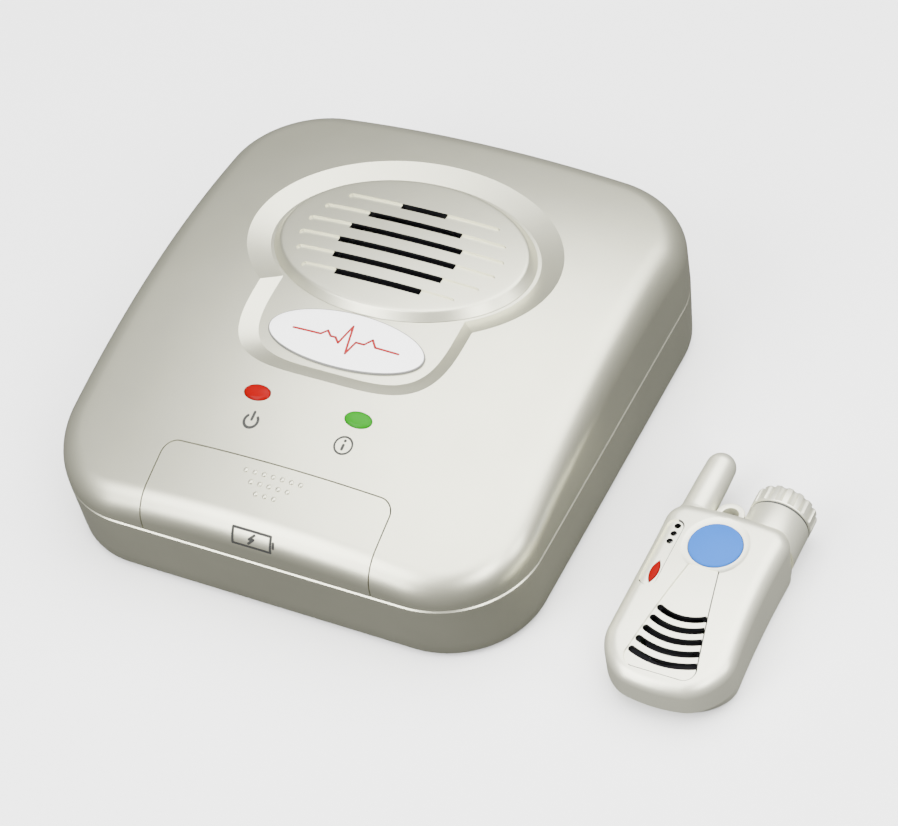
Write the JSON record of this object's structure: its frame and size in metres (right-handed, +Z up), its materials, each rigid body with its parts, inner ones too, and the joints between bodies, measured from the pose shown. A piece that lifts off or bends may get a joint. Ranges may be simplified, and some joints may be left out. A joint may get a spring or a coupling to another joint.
{
  "type": "personal emergency response device",
  "caption": "Crowned telephone base station with speaker grille, lamps and charger door, and a two-way voice pendant with a round alert button, antenna and screw-on battery cap.",
  "frame": {"origin": "on the table under the middle of the set's outline", "axes": "+Z up, front of the base station towards -Y, pendant on the +X side of the base station"},
  "size_m": [0.2112, 0.157, 0.0519],
  "materials": {
    "case_plastic": "satin moulded plastic",
    "pendant_plastic": "satin moulded plastic",
    "badge_white": "printed gloss label",
    "lens_red": "tinted moulded lens",
    "lens_green": "tinted moulded lens",
    "button_blue": "satin moulded plastic",
    "steel": "zinc plated",
    "magnet_iron": "ferrite",
    "cone_paper": "pressed paper",
    "board_green": "solder mask",
    "black_plastic": "moulded",
    "mesh_cloth": "woven",
    "lamp_clear": "clear epoxy",
    "brass": "plated",
    "cell_wrap": "shrink wrap",
    "white_plastic": "moulded",
    "rubber": "matt"
  },
  "bodies": {
    "base": {"lower_case": "case_plastic", "upper_cover": "case_plastic", "speaker_grille": "case_plastic", "badge_plate": "badge_white", "power_lens": "lens_red", "info_lens": "lens_green", "speaker_frame": "steel", "speaker_cone": "cone_paper", "speaker_magnet": "magnet_iron", "speaker_screws": "steel", "main_board": "board_green", "board_parts": "black_plastic", "board_screws": "steel", "lamps": "lamp_clear", "line_jack": "black_plastic", "phone_jack": "black_plastic", "power_jack": "black_plastic", "power_pin": "steel", "charger_tray": "case_plastic", "charger_contacts": "brass", "backup_battery": "cell_wrap", "battery_door": "case_plastic", "battery_door_screw": "steel", "case_screws": "steel", "rubber_feet": "rubber"},
    "charger_door": {"charger_door": "case_plastic"},
    "pendant": {"pendant_front": "pendant_plastic", "pendant_back": "pendant_plastic", "alert_switch": "black_plastic", "pendant_board": "board_green", "pendant_parts": "black_plastic", "indicator_lens": "lens_red", "microphone": "steel", "voice_speaker": "black_plastic", "speaker_mesh": "mesh_cloth", "antenna_cover": "pendant_plastic", "antenna_wire": "brass", "battery_tube": "pendant_plastic", "pendant_cell": "cell_wrap", "cell_contact": "brass", "cap_seal": "rubber", "lanyard_eye": "pendant_plastic", "pendant_screws": "steel"},
    "alert_button": {"alert_button": "button_blue", "switch_plunger": "white_plastic"},
    "cap_core": {"cap_contact": "brass", "contact_spring": "steel"},
    "battery_cap": {"battery_cap": "pendant_plastic"}
  },
  "joints": [
    {"name": "charger_door_slide", "type": "slide", "parent": "base", "child": "charger_door", "axis": [0, -1, 0], "range_m": [0, 0.022]},
    {"name": "pendant_lift", "type": "slide", "parent": "base", "child": "pendant", "axis": [0, 0, 1], "range_m": [0, 0.1]},
    {"name": "alert_button_press", "type": "slide", "parent": "pendant", "child": "alert_button", "axis": [0, 0, -1], "range_m": [0, 0.0008], "stiffness_N_per_m": 1500, "springref_m": -0.0003},
    {"name": "battery_cap_travel", "type": "slide", "parent": "pendant", "child": "cap_core", "axis": [0, 1, 0], "range_m": [0, 0.0051]},
    {"name": "battery_cap_turn", "type": "hinge", "parent": "cap_core", "child": "battery_cap", "pos_m": [0.09644, -0.005, 0.0095], "axis": [0, 1, 0], "range_deg": [0, 720]}
  ],
  "couplings": [
    {"joint": "battery_cap_travel", "follows": "battery_cap_turn", "m_per_rad": 0.00039789}
  ]
}
